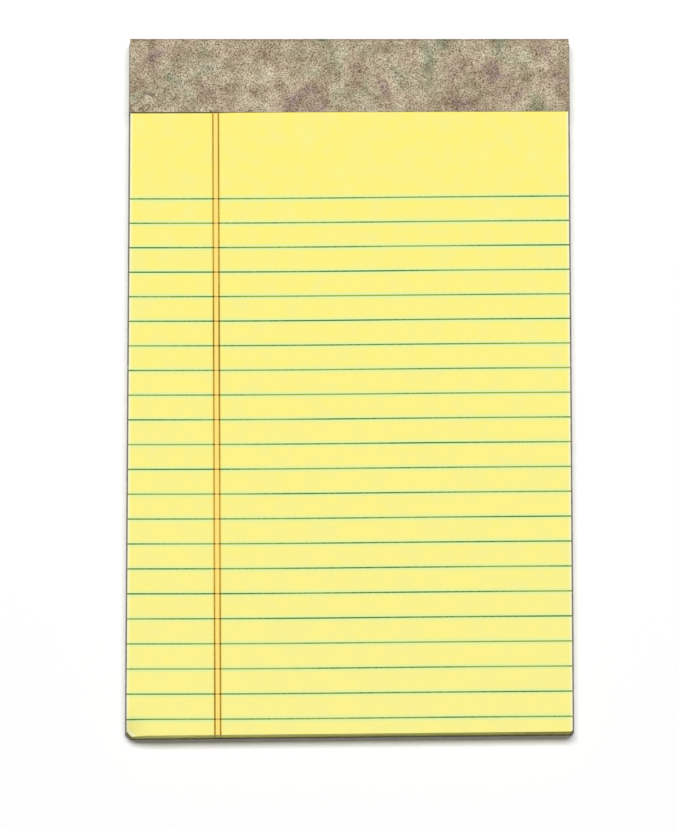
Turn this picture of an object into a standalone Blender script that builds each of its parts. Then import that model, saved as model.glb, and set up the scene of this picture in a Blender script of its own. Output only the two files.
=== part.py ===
"""A junior legal pad: ruled sheets on a chipboard, stapled at the head and bound with folded tape.

Metres, +Z up. The pad lies on its back with the writing face up and its head towards +Y. The origin
is on the surface that the pad lies on, under the middle of its footprint.
"""
import math
from typing import NamedTuple

import bmesh
import bpy

# The trimmed pad. The guillotine drew the lower sheets outwards and left the foot a little askew.
PAD_WIDTH = 0.1270
PAD_LENGTH = 0.2032
FOOT_SKEW = 0.00127  # the left long side is this much longer than the right one
SIDE_DRAW = 0.00045  # how far the top sheet stands in from the board at each long side
FOOT_DRAW = 0.00025  # the same at the foot
EDGE_PLAY = 0.00008  # how far a sheet can stand in behind its two neighbours

# The stack. Its layers are pressed or glued together and the thinnest is 0.1 mm, so the clearance
# between two pieces that touch is as small.
TAPE_THICKNESS = 0.0002
BOARD_THICKNESS = 0.00076
SHEET_THICKNESS = 0.0001
SHEET_COUNT = 50
SEAT_GAP = 0.0001

# Corners: the tape presses the head round. Knocks have worn the foot's corners, the left one to a
# slope, because its top sheets are worn more than the board.
HEAD_ROUND = 0.0005
LEFT_WEAR_TOP = 0.0032
LEFT_WEAR_BOARD = 0.0026
RIGHT_WEAR_TOP = 0.0004
RIGHT_WEAR_BOARD = 0.0006

# The print, slightly turned on the sheet: a ruled field with a double margin line
PRINT_TURN = math.radians(0.41)
PRINT_DEPTH = 0.00003
HEADER_DEPTH = 0.04699  # from the head to the first rule
RULE_PITCH = 0.007218
RULE_WIDTH = 0.0004
LEAST_FOOT_MARGIN = 0.003  # bare paper that is left below the last rule
MARGIN_INSET = 0.02475  # from the left long side to the first margin line, half way down
MARGIN_SPACING = 0.00159
MARGIN_WIDTH = 0.0004

# The binding tape
FRONT_FLAP = 0.0216
FRONT_FLAP_SKEW = 0.0004  # the front flap is this much deeper at its left end
BACK_FLAP = 0.0190
TAPE_END_INSET = 0.0002  # each end of the tape stands in from the board by this much

# The staples
STAPLE_SPACING = 0.060
STAPLE_INSET = 0.009  # from the head to the wire
STAPLE_CROWN = 0.0120
STAPLE_CLINCH = 0.0042  # length of each leg that is bent in along the back
WIRE_DIAMETER = 0.0005
WIRE_BEND = 0.0006  # radius at the middle of the wire

# How finely round shapes are faceted
FOLD_STEPS = 6
WEAR_STEPS = 2
BEND_STEPS = 4
SHARP_ANGLE = math.radians(30)  # edges turned by more than this aren't shaded smooth

# Heights and places that follow from the sizes above
BOARD_BOTTOM = TAPE_THICKNESS + SEAT_GAP
BLOCK_BOTTOM = BOARD_BOTTOM + BOARD_THICKNESS + SEAT_GAP
BLOCK_TOP = BLOCK_BOTTOM + SHEET_COUNT * SHEET_THICKNESS
HEAD_Y = (PAD_LENGTH + FOOT_SKEW / 2 - SEAT_GAP - TAPE_THICKNESS) / 2
FOOT_Y = HEAD_Y - PAD_LENGTH
MIDDLE_Y = (HEAD_Y + FOOT_Y) / 2
# The board's rounded edge is limited by its thickness, and the tape's back fold follows it.
BOARD_ROUND = min(HEAD_ROUND, 0.8 * BOARD_THICKNESS)
# A cutter as long or as wide as this runs past every edge of the pad.
PAST_EDGES = 1.1 * (PAD_WIDTH + PAD_LENGTH)


class Trim(NamedTuple):
    """How far a layer's edges stand in from the board's, and the radii of its worn foot corners."""

    left: float = 0.0
    right: float = 0.0
    foot: float = 0.0
    head: float = 0.0
    left_corner: float = LEFT_WEAR_BOARD
    right_corner: float = RIGHT_WEAR_BOARD


def clear_scene():
    """Remove every object, so that the pad is built into an empty scene."""
    for obj in list(bpy.data.objects):
        bpy.data.objects.remove(obj, do_unlink=True)


def linear(value):
    """Turn one sRGB channel from 0..255 into linear light."""
    value /= 255.0
    return value / 12.92 if value <= 0.04045 else ((value + 0.055) / 1.055) ** 2.4


def make_material(name, srgb, roughness, metallic=0.0):
    """Return a Principled material with the given sRGB colour."""
    material = bpy.data.materials.new(name)
    material.use_nodes = True
    shader = material.node_tree.nodes["Principled BSDF"]
    colour = [linear(channel) for channel in srgb] + [1.0]
    shader.inputs["Base Color"].default_value = colour
    shader.inputs["Roughness"].default_value = roughness
    shader.inputs["Metallic"].default_value = metallic
    material.diffuse_color = colour
    return material


def add_object(name, data, parent=None):
    """Put a mesh or curve into the scene under its name."""
    obj = bpy.data.objects.new(name, data)
    bpy.context.scene.collection.objects.link(obj)
    obj.parent = parent
    return obj


def add_cutter(name, data):
    """Put a mesh into the scene as a cutting shape, which isn't a piece of the pad."""
    cutter = add_object(name, data)
    cutter.display_type = "WIRE"
    cutter.hide_render = True
    return cutter


def cut(obj, cutter):
    """Subtract the cutter. Cut faces take its material if it has one, and the object's if not."""
    modifier = obj.modifiers.new(cutter.name, "BOOLEAN")
    modifier.operation = "DIFFERENCE"
    modifier.solver = "EXACT"
    modifier.material_mode = "TRANSFER" if cutter.data.materials else "INDEX"
    modifier.object = cutter


def mesh_from(bm, name):
    """Store a bmesh as a mesh, with its faces pointing out."""
    bmesh.ops.recalc_face_normals(bm, faces=bm.faces)
    mesh = bpy.data.meshes.new(name)
    bm.to_mesh(mesh)
    bm.free()
    return mesh


def extruded(outline, travel):
    """Return a bmesh with the flat outline of (x, y, z) points extruded along the travel vector."""
    bm = bmesh.new()
    face = bm.faces.new([bm.verts.new(point) for point in outline])
    swept = bmesh.ops.extrude_face_region(bm, geom=[face])["geom"]
    moved = [part for part in swept if isinstance(part, bmesh.types.BMVert)]
    bmesh.ops.translate(bm, vec=travel, verts=moved)
    return bm


def arc(centre, radius, start, end, steps):
    """Return the points of an arc from the start angle to the end angle, in radians."""
    angles = [start + (end - start) * step / steps for step in range(steps + 1)]
    return [(centre[0] + radius * math.cos(a), centre[1] + radius * math.sin(a)) for a in angles]


def layer_outline(trim):
    """Return the plan of one layer, round from the head's left corner by way of the foot."""
    x_left = trim.left - PAD_WIDTH / 2
    x_right = PAD_WIDTH / 2 - trim.right
    y_left, y_right = [FOOT_Y + FOOT_SKEW * x / PAD_WIDTH + trim.foot for x in (x_left, x_right)]
    left_centre = (x_left + trim.left_corner, y_left + trim.left_corner)
    right_centre = (x_right - trim.right_corner, y_right + trim.right_corner)
    return (
        [(x_left, HEAD_Y - trim.head)]
        + arc(left_centre, trim.left_corner, math.pi, 1.5 * math.pi, WEAR_STEPS)
        + arc(right_centre, trim.right_corner, 1.5 * math.pi, 2.0 * math.pi, WEAR_STEPS)
        + [(x_right, HEAD_Y - trim.head)]
    )


def uneven(sheet, edge):
    """Return a fixed number from 0 to 1 that looks random from sheet to sheet and edge to edge."""
    golden_ratio = (math.sqrt(5.0) - 1.0) / 2.0
    return ((sheet + 1) * golden_ratio + edge * golden_ratio**2) % 1.0


def proud_trim(sheet):
    """Return the trim of a sheet that stands proud of its neighbours. Sheet 0 is the top one."""
    height = 1.0 - sheet / SHEET_COUNT
    draws = (SIDE_DRAW, SIDE_DRAW, FOOT_DRAW, 0.0)
    edges = [draw * height + 0.2 * EDGE_PLAY * uneven(sheet, edge) for edge, draw in enumerate(draws)]
    left_corner = LEFT_WEAR_BOARD + (LEFT_WEAR_TOP - LEFT_WEAR_BOARD) * height
    right_corner = RIGHT_WEAR_BOARD + (RIGHT_WEAR_TOP - RIGHT_WEAR_BOARD) * height
    return Trim(*edges, left_corner, right_corner)


def sheet_trim(sheet):
    """Return the trim of any sheet.

    Every second sheet stands proud. Each sheet between two of them lies further in than both on
    every edge, so the cut edges show as fine ridges and no two outlines cross.
    """
    if sheet % 2 == 0:
        return proud_trim(sheet)
    neighbours = zip(proud_trim(sheet - 1), proud_trim(sheet + 1))
    return Trim(
        *(max(pair) + EDGE_PLAY * (0.4 + 0.6 * uneven(sheet, edge)) for edge, pair in enumerate(neighbours))
    )


def stack_mesh():
    """Return the sheets as one closed mesh: two rings for each sheet, from the lowest one up."""
    bm = bmesh.new()
    rings = []
    for sheet in reversed(range(SHEET_COUNT)):
        outline = layer_outline(sheet_trim(sheet))
        low = (SHEET_COUNT - 1 - sheet) * SHEET_THICKNESS
        for z in (low, low + SHEET_THICKNESS):
            rings.append([bm.verts.new((x, y, z)) for x, y in outline])
    for below, above in zip(rings, rings[1:]):
        for near in range(len(below)):
            far = (near + 1) % len(below)
            bm.faces.new((below[near], below[far], above[far], above[near]))
    bm.faces.new(rings[0])
    bm.faces.new(rings[-1])
    return mesh_from(bm, "sheet_block")


def print_cutter(name, ink, strips):
    """Return a cutter that sinks strips of print into the top sheet, turned with the whole print.

    Each strip is (x, y, length, width), measured from the middle of the sheet along the print.
    """
    bm = bmesh.new()
    for x, y, length, width in strips:
        box = bmesh.ops.create_cube(bm, size=1.0)["verts"]
        bmesh.ops.scale(bm, vec=(length, width, 2 * PRINT_DEPTH), verts=box)
        bmesh.ops.translate(bm, vec=(x, y, 0.0), verts=box)
    cutter = add_cutter(name, mesh_from(bm, name))
    cutter.data.materials.append(ink)
    cutter.location = (0.0, MIDDLE_Y, BLOCK_TOP)
    cutter.rotation_euler = (0.0, 0.0, PRINT_TURN)
    return cutter


def rule_cutter(ink):
    """Return the cutter of the rules, which run off both long sides."""
    first = HEAD_Y - HEADER_DEPTH - MIDDLE_Y
    ruled_depth = PAD_LENGTH - HEADER_DEPTH - LEAST_FOOT_MARGIN
    rows = [first - RULE_PITCH * row for row in range(int(ruled_depth / RULE_PITCH) + 1)]
    return print_cutter("rule_cutter", ink, [(0.0, y, PAST_EDGES, RULE_WIDTH) for y in rows])


def margin_cutter(ink):
    """Return the cutter of the double margin line, which runs off the head and the foot."""
    first = MARGIN_INSET - PAD_WIDTH / 2
    columns = [first, first + MARGIN_SPACING]
    return print_cutter("margin_cutter", ink, [(x, 0.0, MARGIN_WIDTH, PAST_EDGES) for x in columns])


def head_cutter():
    """Return the sliver between the stack's square head corner and the round that the tape presses."""
    centre = (HEAD_Y - HEAD_ROUND, BLOCK_TOP - HEAD_ROUND)
    far_y, far_z = HEAD_Y + HEAD_ROUND, BLOCK_TOP + HEAD_ROUND
    profile = arc(centre, HEAD_ROUND, 0.0, math.pi / 2, FOLD_STEPS)
    profile += [(centre[0], far_z), (far_y, far_z), (far_y, centre[1])]
    bm = extruded([(-PAST_EDGES / 2, y, z) for y, z in profile], (PAST_EDGES, 0.0, 0.0))
    return add_cutter("head_cutter", mesh_from(bm, "head_cutter"))


def board_mesh():
    """Return the chipboard as a closed mesh with its lower head edge rounded."""
    bm = extruded([(x, y, 0.0) for x, y in layer_outline(Trim())], (0.0, 0.0, BOARD_THICKNESS))
    low = [vert for vert in bm.verts if vert.co.z < BOARD_THICKNESS / 2 and vert.co.y > MIDDLE_Y]
    head = [edge for edge in bm.edges if all(vert in low for vert in edge.verts)]
    bmesh.ops.bevel(bm, geom=head, offset=BOARD_ROUND, segments=FOLD_STEPS, profile=0.5, affect="EDGES")
    return mesh_from(bm, "backing_board")


def tape_face(clearance):
    """Return the (y, z) path at a clearance round the head, from the front flap to the back flap."""
    front_centre = (HEAD_Y - HEAD_ROUND, BLOCK_TOP - HEAD_ROUND)
    back_centre = (HEAD_Y - BOARD_ROUND, BOARD_BOTTOM + BOARD_ROUND)
    return (
        [(HEAD_Y - FRONT_FLAP, BLOCK_TOP + clearance)]
        + arc(front_centre, HEAD_ROUND + clearance, math.pi / 2, 0.0, FOLD_STEPS)
        + arc(back_centre, BOARD_ROUND + clearance, 0.0, -math.pi / 2, FOLD_STEPS)
        + [(HEAD_Y - BACK_FLAP, BOARD_BOTTOM - clearance)]
    )


def tape_mesh():
    """Return the folded strip: its section extruded along the head, its front edge cut askew."""
    section = tape_face(SEAT_GAP) + tape_face(SEAT_GAP + TAPE_THICKNESS)[::-1]
    length = PAD_WIDTH - 2 * TAPE_END_INSET
    bm = extruded([(-length / 2, y, z) for y, z in section], (length, 0.0, 0.0))
    for vert in bm.verts:
        if vert.co.z > BLOCK_TOP and vert.co.y < HEAD_Y - FRONT_FLAP / 2:
            vert.co.y += FRONT_FLAP_SKEW * vert.co.x / length
    mesh = mesh_from(bm, "binding_tape")
    mesh.shade_smooth()
    mesh.set_sharp_from_angle(angle=SHARP_ANGLE)
    return mesh


def staple_curve(name, radius, end_gap):
    """Return one staple's wire as a curve in the XZ plane, midway between its legs.

    The crown lies flush in the top sheet and the legs are clinched flush in the board's back. The
    end gap lengthens both tips, for the channel that the wire lies in.
    """
    crown_z = BLOCK_TOP - WIRE_DIAMETER / 2
    clinch_z = BOARD_BOTTOM + WIRE_DIAMETER / 2
    tip_x = STAPLE_CLINCH + end_gap - STAPLE_CROWN / 2
    bend_x = WIRE_BEND - STAPLE_CROWN / 2
    left_half = (
        [(tip_x, clinch_z)]
        + arc((bend_x, clinch_z + WIRE_BEND), WIRE_BEND, 1.5 * math.pi, math.pi, BEND_STEPS)
        + arc((bend_x, crown_z - WIRE_BEND), WIRE_BEND, math.pi, 0.5 * math.pi, BEND_STEPS)
    )
    path = left_half + [(-x, z) for x, z in reversed(left_half)]
    curve = bpy.data.curves.new(name, "CURVE")
    curve.dimensions = "3D"
    spline = curve.splines.new("POLY")
    spline.points.add(len(path) - 1)
    for point, (x, z) in zip(spline.points, path):
        point.co = (x, 0.0, z, 1.0)
    curve.bevel_depth = radius
    curve.bevel_resolution = 2
    curve.use_fill_caps = True
    return curve


def staple_places():
    """Return the side and the place of each staple."""
    y = HEAD_Y - STAPLE_INSET
    return {"left": (-STAPLE_SPACING / 2, y, 0.0), "right": (STAPLE_SPACING / 2, y, 0.0)}


def staple_cutters():
    """Return the channels of the staples: their wire, thicker and longer by the clearance."""
    curve = staple_curve("staple_channel", WIRE_DIAMETER / 2 + SEAT_GAP, SEAT_GAP)
    guide = bpy.data.objects.new("staple_channel", curve)
    channel = bpy.data.meshes.new_from_object(guide)
    bpy.data.objects.remove(guide)
    cutters = []
    for side, place in staple_places().items():
        cutter = add_cutter("staple_cutter_" + side, channel)
        cutter.location = place
        cutters.append(cutter)
    return cutters


def build_sheet_block(pad):
    """Build the ruled sheets as one solid."""
    mesh = stack_mesh()
    mesh.materials.append(make_material("yellow_paper", (251, 242, 139), 0.85))
    block = add_object("sheet_block", mesh, pad)
    block.location = (0.0, 0.0, BLOCK_BOTTOM)
    cut(block, rule_cutter(make_material("blue_green_ink", (108, 158, 112), 0.8)))
    cut(block, margin_cutter(make_material("orange_red_ink", (196, 132, 52), 0.8)))
    cut(block, head_cutter())
    return block


def build_backing_board(pad):
    """Build the chipboard behind the last sheet."""
    mesh = board_mesh()
    mesh.materials.append(make_material("grey_chipboard", (152, 146, 132), 0.9))
    board = add_object("backing_board", mesh, pad)
    board.location = (0.0, 0.0, BOARD_BOTTOM)
    return board


def build_binding_tape(pad):
    """Build the printed paper tape that is folded over the head."""
    mesh = tape_mesh()
    mesh.materials.append(make_material("mottled_tape_paper", (172, 157, 133), 0.7))
    return add_object("binding_tape", mesh, pad)


def build_staples(pad):
    """Build both staples from one shared wire."""
    wire = staple_curve("staple_wire", WIRE_DIAMETER / 2, 0.0)
    wire.materials.append(make_material("galvanised_wire", (186, 186, 184), 0.35, metallic=1.0))
    for side, place in staple_places().items():
        add_object("staple_" + side, wire, pad).location = place


def build_pad():
    """Build the pad's pieces on one empty, and let the staples' channels into the stack."""
    clear_scene()
    pad = add_object("legal_pad", None)
    block = build_sheet_block(pad)
    board = build_backing_board(pad)
    build_binding_tape(pad)
    build_staples(pad)
    for cutter in staple_cutters():
        cut(block, cutter)
        cut(board, cutter)


build_pad()
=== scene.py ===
"""The looks of a junior legal pad: ruled yellow sheets on a chipboard, bound with a printed tape.

Metres, +Z up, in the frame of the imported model: the writing face looks up and the head is towards
+Y. Each piece is worked out with numpy as arrays of points, from the boxes of the CAD nodes that it
stands for, and its finish is a procedural material that reads Object coordinates.
"""
import logging
import math
from collections.abc import Iterable
from dataclasses import dataclass
from enum import IntEnum

import bpy
import numpy as np
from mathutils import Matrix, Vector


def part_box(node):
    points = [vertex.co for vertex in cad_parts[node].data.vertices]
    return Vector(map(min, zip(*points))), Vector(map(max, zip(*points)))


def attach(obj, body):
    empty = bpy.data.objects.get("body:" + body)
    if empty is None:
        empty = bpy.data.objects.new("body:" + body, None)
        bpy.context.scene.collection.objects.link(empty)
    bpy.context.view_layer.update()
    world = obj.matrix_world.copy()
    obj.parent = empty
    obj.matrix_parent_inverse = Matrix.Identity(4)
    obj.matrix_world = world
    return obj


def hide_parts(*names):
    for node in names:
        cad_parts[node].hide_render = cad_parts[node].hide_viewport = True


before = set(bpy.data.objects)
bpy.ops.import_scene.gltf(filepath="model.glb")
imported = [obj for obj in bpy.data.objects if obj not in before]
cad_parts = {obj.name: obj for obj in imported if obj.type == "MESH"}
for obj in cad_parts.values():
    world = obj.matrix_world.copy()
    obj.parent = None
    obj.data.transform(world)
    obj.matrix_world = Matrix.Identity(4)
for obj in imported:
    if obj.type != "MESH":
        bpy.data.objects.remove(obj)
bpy.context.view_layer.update()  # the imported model: bodies, nodes, joints and the record

log = logging.getLogger("legal_pad")

Array = np.ndarray
Tree = bpy.types.NodeTree
Socket = bpy.types.NodeSocket
Feed = Socket | float | tuple  # what a node's input takes: a link or a value
Span = tuple[float, float]

MM = 0.001
BODY = "root"
SHARP_ANGLE = math.radians(30.0)  # edges turned by more than this aren't shaded smooth
PRINT = "print"  # the attribute that holds a point's place in the print
DIAGONAL = math.sqrt(0.5)

# Sizes of the pad that the boxes of its nodes don't tell
FOOT_SKEW = 1.27 * MM  # the left long side is this much longer than the right one
SIDE_DRAW = 0.45 * MM  # how far the top sheet stands in from the board at each long side
SIDE_RIM = 0.3 * MM  # the same of the lowest sheet
FOOT_DRAW = 0.10 * MM  # how far the top sheet stands in at the foot
HEAD_ROUND = 0.5 * MM  # radius that the tape presses on the head's edges
FRONT_FLAP = 21.6 * MM
FRONT_SKEW = 0.4 * MM  # the tape's front flap is this much deeper at its left end
SHEET_COUNT = 50
CORNER_SLOPE = 0.9  # a worn corner is this much a straight slope, and else a quarter circle


class Slot(IntEnum):
    """Material slots of the paper pieces: bare paper, or what is printed on it.

    A crossing has both inks. A blend is the short stretch of a rule between the margin lines, which
    the margin's ink has bled into.
    """

    PAPER = 0
    RULE = 1
    MARGIN = 2
    CROSSING = 3
    BLEND = 4


class TapeSlot(IntEnum):
    """Material slots of the tape: its printed face, and its back and cut edges."""

    PRINTED = 0
    CORE = 1


def linear(hex_colour: str) -> tuple[float, float, float, float]:
    """Turn an sRGB hex colour into linear light, as red, green, blue and an alpha of 1."""
    channels = [int(hex_colour[i : i + 2], 16) / 255.0 for i in (0, 2, 4)]
    light = [c / 12.92 if c <= 0.04045 else ((c + 0.055) / 1.055) ** 2.4 for c in channels]
    return (*light, 1.0)


def add_node(
    tree: Tree, kind: str, *values: Feed, named: dict[str, Feed] | None = None, **settings
) -> Socket:
    """Add a node with its settings and links.

    Args:
        tree: the node tree of a material or of the world.
        kind: the node's type name, without the "ShaderNode" that all of them begin with.
        values: what the inputs in use take, in their order.
        named: the same for inputs by their names.
        settings: properties of the node.

    Returns:
        The node's first output in use.
    """
    node = tree.nodes.new("ShaderNode" + kind)
    for name, value in settings.items():
        setattr(node, name, value)
    feeds = list(zip([put for put in node.inputs if put.enabled], values))
    feeds += [(node.inputs[name], value) for name, value in (named or {}).items()]
    for put, value in feeds:
        if isinstance(value, Socket):
            tree.links.new(value, put)
        else:
            put.default_value = value
    return next(out for out in node.outputs if out.enabled)


def mark(tree: Tree, colour: Feed, marks: Iterable[tuple[Socket, str]]) -> Socket:
    """Lay marks over a colour one by one.

    Args:
        tree: the material's node tree.
        colour: the colour below them.
        marks: the share that shows of each mark, and its hex colour.

    Returns:
        The socket that holds the marked colour.
    """
    for share, hex_colour in marks:
        colour = add_node(tree, "Mix", share, colour, linear(hex_colour), data_type="RGBA")
    return colour


def past_corner(tree: Tree, x: Socket, y: Socket, corner: Span, wear: float = 0.0) -> Socket:
    """Return how far a place lies in from a left foot corner: (x + y) / sqrt(2), less its wear."""
    both = add_node(tree, "Math", x, y, operation="ADD")
    start = -sum(corner) * DIAGONAL - wear
    return add_node(tree, "Math", both, DIAGONAL, start, operation="MULTIPLY_ADD")


def put_mesh(
    name: str, points: Array, faces: list, slots: Array, materials: list[bpy.types.Material]
) -> bpy.types.Object:
    """Put arrays of points and faces into the scene as one piece at the origin.

    Args:
        name: the piece's name.
        points: x, y and z of each point, in an array of any shape that ends in 3.
        faces: the point numbers of each face, counter-clockwise seen from outside.
        slots: the material slot of each face.
        materials: the piece's materials, in the order of its slots.

    Returns:
        The new object.
    """
    mesh = bpy.data.meshes.new(name)
    mesh.from_pydata(points.reshape(-1, 3), [], faces)
    for material in materials:
        mesh.materials.append(material)
    mesh.polygons.foreach_set("material_index", np.ascontiguousarray(slots, dtype=np.int32))
    mesh.shade_smooth()
    mesh.set_sharp_from_angle(angle=SHARP_ANGLE)
    mesh.update()
    obj = bpy.data.objects.new(name, mesh)
    bpy.context.scene.collection.objects.link(obj)
    return obj


def place(obj: bpy.types.Object, slot: str, *nodes: str) -> None:
    """Let a piece ride on the pad's body, hide the CAD nodes it stands for, and log it.

    Args:
        obj: the finished piece.
        slot: the record's material slot that it takes its finish from; not used.
        nodes: the CAD nodes that it replaces.
    """
    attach(obj, BODY)
    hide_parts(*nodes)
    log.info("%s: %d points, %d faces", obj.name, len(obj.data.vertices), len(obj.data.polygons))


def waves(along: Array, lengths: tuple[float, ...], phases: Array) -> Array:
    """Return smooth unevenness along an edge: the mean of sines of several wave lengths.

    Args:
        along: distances along the edges.
        lengths: the wave lengths.
        phases: phases for each wave length, shaped like the distances with one more axis.

    Returns:
        Numbers from -1 to 1, shaped like the distances.
    """
    turns = 2.0 * np.pi * along[..., None] / np.array(lengths)
    return np.sin(turns + phases).mean(axis=-1)


def roughen(
    loops: Array, outward: Array, depth: float, lengths: tuple[float, ...], phases: Array
) -> Array:
    """Draw outlines in by an uneven depth: half of the full one, times 1 plus the waves.

    Args:
        loops: the outlines as (layer, point, xy).
        outward: the direction out of the layer at each point.
        depth: the full depth.
        lengths: the wave lengths of the unevenness.
        phases: its phases, as waves takes them.

    Returns:
        The outlines with their points drawn in.
    """
    steps = np.linalg.norm(np.diff(loops, axis=1, append=loops[:, :1]), axis=-1)
    uneven = 0.5 * (1.0 + waves(np.cumsum(steps, axis=1), lengths, phases))
    return loops - outward * (depth * uneven)[..., None]


def smooth(share: Array) -> Array:
    """Return an eased step: 0 up to share 0, 1 from share 1 and a cubic between."""
    held = np.clip(share, 0.0, 1.0)
    return held * held * (3.0 - 2.0 * held)


def worn(across: Array, along: Array) -> Array:
    """Return how far a point of a rounded corner stays from the corner's centre once it is worn.

    The share is 1 for a quarter circle, and 1 / (cos + sin) on the straight slope between its ends.

    Args:
        across: the point's distance from the centre along x.
        along: the same along y.

    Returns:
        The share of its distance that the point keeps.
    """
    total = np.maximum(np.abs(across) + np.abs(along), 1e-9)
    return 1.0 - CORNER_SLOPE * (1.0 - np.hypot(across, along) / total)


def between(counts: list[int]) -> Array:
    """Spread grid lines between key lines.

    Args:
        counts: how many steps the grid takes from each key line to the next.

    Returns:
        A matrix with a row for each grid line, which weighs the two key lines beside it.
    """
    places = np.concatenate([key + np.arange(steps) / steps for key, steps in enumerate(counts)])
    places = np.append(places, len(counts))
    keys = np.arange(len(counts) + 1)
    return np.clip(1.0 - np.abs(places[:, None] - keys[None, :]), 0.0, 1.0)


def loft_solids(rings: Array, rungs: int, side_slots: Array) -> tuple[list, Array]:
    """Close stacks of rings into solids: walls from ring to ring and a cap at either end.

    Each ring runs counter-clockwise from the left end of the head. A cap is a ladder of faces from
    the left side to the right side, and one last face along the foot.

    Args:
        rings: points as (solid, ring, point, xyz), from the lowest ring up.
        rungs: how many points of the left side have a partner on the right side.
        side_slots: the material slot of the wall from each point of a ring to the next.

    Returns:
        The faces as lists of point numbers, and the slot of each face.
    """
    solids, levels, loop = rings.shape[:3]
    ring = np.arange(loop)
    step = np.roll(ring, -1)
    wall = np.stack([ring, step, step + loop, ring + loop], axis=-1)
    walls = wall[None] + loop * np.arange(levels - 1)[:, None, None]
    rung = np.arange(rungs - 1)
    ladder = np.stack([rung, rung + 1, loop - 2 - rung, loop - 1 - rung], axis=-1)
    last = np.arange(rungs - 1, loop - rungs + 1)
    top = loop * (levels - 1)
    quads = np.concatenate([walls.reshape(-1, 4), ladder + top, ladder[:, ::-1]])
    starts = levels * loop * np.arange(solids)
    faces = (quads[None] + starts[:, None, None]).reshape(-1, 4).tolist()
    faces += (last[None] + top + starts[:, None]).tolist()
    faces += (last[None, ::-1] + starts[:, None]).tolist()
    quad_slots = np.append(np.tile(side_slots, levels - 1), np.zeros(2 * len(ladder), dtype=int))
    slots = np.append(np.tile(quad_slots, solids), np.zeros(2 * solids, dtype=int))
    return faces, slots


def close_sheet(cell_slots: Array, rim_slot: int | None = None) -> tuple[Array, Array]:
    """Join an outer grid and an inner grid of points into one closed thin sheet.

    The outer points come first. The row direction times the column direction points out.

    Args:
        cell_slots: the material slot of each cell of the outer grid.
        rim_slot: the slot of the inner face and the rim. Without one the rim goes on with the slots
            of the cells beside it.

    Returns:
        The faces, four point numbers each, and the slot of each face.
    """
    rows, columns = (count + 1 for count in cell_slots.shape)
    below = rows * columns
    outer = np.arange(below).reshape(rows, columns)
    front = np.stack([outer[:-1, :-1], outer[1:, :-1], outer[1:, 1:], outer[:-1, 1:]], axis=-1)
    front = front.reshape(-1, 4)
    borders = [
        (outer[::-1, 0], cell_slots[::-1, 0]),
        (outer[:, -1], cell_slots[:, -1]),
        (outer[0], cell_slots[0]),
        (outer[-1, ::-1], cell_slots[-1, ::-1]),
    ]
    rims = [
        np.stack([run[:-1], run[1:], run[1:] + below, run[:-1] + below], axis=-1)
        for run, _ in borders
    ]
    rim_slots = np.concatenate([beside for _, beside in borders])
    back_slots = np.zeros(cell_slots.size, dtype=int)
    if rim_slot is not None:
        rim_slots = np.full(len(rim_slots), rim_slot)
        back_slots = back_slots + rim_slot
    faces = np.concatenate([front, front[:, ::-1] + below, *rims])
    return faces, np.concatenate([cell_slots.reshape(-1), back_slots, rim_slots])


@dataclass(frozen=True)
class PadPlan:
    """Where the pad's layers lie, read from the boxes of the CAD nodes."""

    width: float
    head_y: float
    foot_y: float
    board_bottom: float
    board_top: float
    block_bottom: float
    block_top: float
    tape_low: tuple[float, float, float]
    tape_high: tuple[float, float, float]

    @classmethod
    def from_frame(cls) -> "PadPlan":
        """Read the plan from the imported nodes."""
        board_low, board_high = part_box("backing_board")
        block_low, block_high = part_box("sheet_block")
        tape_low, tape_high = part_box("binding_tape")
        return cls(
            width=board_high.x - board_low.x,
            head_y=board_high.y,
            foot_y=board_low.y + FOOT_SKEW / 2.0,
            board_bottom=board_low.z,
            board_top=board_high.z,
            block_bottom=block_low.z,
            block_top=block_high.z,
            tape_low=tuple(tape_low),
            tape_high=tuple(tape_high),
        )

    @property
    def side_x(self) -> float:
        """How far each long side lies from the middle."""
        return self.width / 2.0

    @property
    def middle_y(self) -> float:
        """The middle of the sheets, which the print is turned about."""
        return (self.head_y + self.foot_y) / 2.0

    def foot_at(self, x: float | Array) -> float | Array:
        """Return y of the board's foot at x: a straight cut, a little out of square."""
        return self.foot_y + FOOT_SKEW * x / self.width

    def left_corner(self, inset: float = 0.0, rise: float = 0.0) -> Span:
        """Return x and y of a layer's left foot corner before it was worn."""
        x = inset - self.side_x
        return x, self.foot_at(x) + rise

    def crushed(self, points: Array, amount: float = 0.6, reach: float = 8.0 * MM) -> Array:
        """Press the stack together at its left foot corner, where a knock has crushed it.

        Each point sinks towards the board by a share of its height that grows with the square of
        how near it is to the corner.

        Args:
            points: points of the sheets, in an array of any shape that ends in 3.
            amount: the share of its height that a point at the very corner sinks.
            reach: how far from the corner the crush ends.

        Returns:
            The points with their new heights.
        """
        corner_x, corner_y = self.left_corner()
        distance = np.hypot(points[..., 0] - corner_x, points[..., 1] - corner_y)
        share = amount * np.clip(1.0 - distance / reach, 0.0, 1.0) ** 2
        sunk = points.copy()
        sunk[..., 2] -= share * (points[..., 2] - self.block_bottom)
        return sunk


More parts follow.
